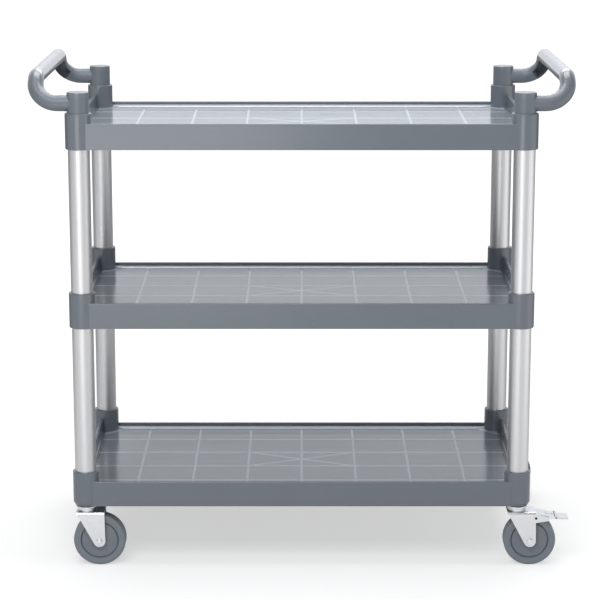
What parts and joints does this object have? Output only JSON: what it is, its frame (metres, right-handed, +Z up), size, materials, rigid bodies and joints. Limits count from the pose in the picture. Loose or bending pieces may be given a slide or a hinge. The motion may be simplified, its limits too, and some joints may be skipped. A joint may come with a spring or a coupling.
{
  "type": "service cart",
  "caption": "Moulded plastic service cart with stacked lipped trays on aluminium tube posts, a bent handle at each end and swivel casters with foot brakes.",
  "frame": {"origin": "on the ground under the middle of the cart", "axes": "+X along the cart's length towards the end whose front caster has a brake, +Y from the high-lipped side to the low-lipped side, +Z up"},
  "size_m": [1.0237, 0.5005, 0.955],
  "materials": {
    "grey_plastic": "semi-gloss moulded plastic",
    "aluminium_tube": "satin drawn tube",
    "black_plastic": "matt moulded",
    "zinc_steel": "bright zinc plate",
    "bearing_steel": "polished",
    "wheel_plastic": "satin moulded",
    "grey_rubber": "satin non-marking tread",
    "light_plastic": "satin moulded",
    "black_rubber": "matt",
    "dark_steel": "dark plated"
  },
  "bodies": {
    "frame": {"shelf_top": "grey_plastic", "shelf_middle": "grey_plastic", "shelf_bottom": "grey_plastic", "handle_left": "grey_plastic", "handle_right": "grey_plastic", "post_lower_front_left": "aluminium_tube", "post_upper_front_left": "aluminium_tube", "post_lower_front_right": "aluminium_tube", "post_upper_front_right": "aluminium_tube", "post_lower_rear_left": "aluminium_tube", "post_upper_rear_left": "aluminium_tube", "post_lower_rear_right": "aluminium_tube", "post_upper_rear_right": "aluminium_tube", "insert_front_left": "black_plastic", "stem_front_left": "zinc_steel", "race_front_left": "zinc_steel", "insert_front_right": "black_plastic", "stem_front_right": "zinc_steel", "race_front_right": "zinc_steel", "insert_rear_left": "black_plastic", "stem_rear_left": "zinc_steel", "race_rear_left": "zinc_steel", "insert_rear_right": "black_plastic", "stem_rear_right": "zinc_steel", "race_rear_right": "zinc_steel"},
    "swivel_front_left": {"fork_front_left": "zinc_steel", "axle_front_left": "zinc_steel", "bush_front_left": "zinc_steel", "balls_front_left": "bearing_steel"},
    "wheel_front_left": {"wheel_core_front_left": "wheel_plastic", "tyre_front_left": "grey_rubber"},
    "swivel_front_right": {"fork_front_right": "zinc_steel", "axle_front_right": "zinc_steel", "bush_front_right": "zinc_steel", "balls_front_right": "bearing_steel", "pivot_rivets_front_right": "dark_steel"},
    "wheel_front_right": {"wheel_core_front_right": "wheel_plastic", "tyre_front_right": "grey_rubber"},
    "pedal_front_right": {"pedal_front_right": "zinc_steel", "pedal_cap_front_right": "light_plastic", "brake_shoe_front_right": "black_rubber"},
    "swivel_rear_left": {"fork_rear_left": "zinc_steel", "axle_rear_left": "zinc_steel", "bush_rear_left": "zinc_steel", "balls_rear_left": "bearing_steel", "pivot_rivets_rear_left": "dark_steel"},
    "wheel_rear_left": {"wheel_core_rear_left": "wheel_plastic", "tyre_rear_left": "grey_rubber"},
    "pedal_rear_left": {"pedal_rear_left": "zinc_steel", "pedal_cap_rear_left": "light_plastic", "brake_shoe_rear_left": "black_rubber"},
    "swivel_rear_right": {"fork_rear_right": "zinc_steel", "axle_rear_right": "zinc_steel", "bush_rear_right": "zinc_steel", "balls_rear_right": "bearing_steel"},
    "wheel_rear_right": {"wheel_core_rear_right": "wheel_plastic", "tyre_rear_right": "grey_rubber"}
  },
  "joints": [
    {"name": "swivel_front_left_turn", "type": "hinge", "parent": "frame", "child": "swivel_front_left", "pos_m": [-0.415, -0.225, 0.108], "axis": [0, 0, 1], "continuous": true},
    {"name": "wheel_front_left_spin", "type": "hinge", "parent": "swivel_front_left", "child": "wheel_front_left", "pos_m": [-0.39, -0.225, 0.05], "axis": [0, 1, 0], "continuous": true},
    {"name": "swivel_front_right_turn", "type": "hinge", "parent": "frame", "child": "swivel_front_right", "pos_m": [0.415, -0.225, 0.108], "axis": [0, 0, 1], "continuous": true},
    {"name": "wheel_front_right_spin", "type": "hinge", "parent": "swivel_front_right", "child": "wheel_front_right", "pos_m": [0.44, -0.225, 0.05], "axis": [0, 1, 0], "continuous": true},
    {"name": "pedal_front_right_tip", "type": "hinge", "parent": "swivel_front_right", "child": "pedal_front_right", "pos_m": [0.451, -0.225, 0.096], "axis": [0, 1, 0], "range_deg": [0, 7]},
    {"name": "swivel_rear_left_turn", "type": "hinge", "parent": "frame", "child": "swivel_rear_left", "pos_m": [-0.415, 0.225, 0.108], "axis": [0, 0, 1], "continuous": true},
    {"name": "wheel_rear_left_spin", "type": "hinge", "parent": "swivel_rear_left", "child": "wheel_rear_left", "pos_m": [-0.39, 0.225, 0.05], "axis": [0, 1, 0], "continuous": true},
    {"name": "pedal_rear_left_tip", "type": "hinge", "parent": "swivel_rear_left", "child": "pedal_rear_left", "pos_m": [-0.379, 0.225, 0.096], "axis": [0, 1, 0], "range_deg": [0, 7]},
    {"name": "swivel_rear_right_turn", "type": "hinge", "parent": "frame", "child": "swivel_rear_right", "pos_m": [0.415, 0.225, 0.108], "axis": [0, 0, 1], "continuous": true},
    {"name": "wheel_rear_right_spin", "type": "hinge", "parent": "swivel_rear_right", "child": "wheel_rear_right", "pos_m": [0.44, 0.225, 0.05], "axis": [0, 1, 0], "continuous": true}
  ]
}
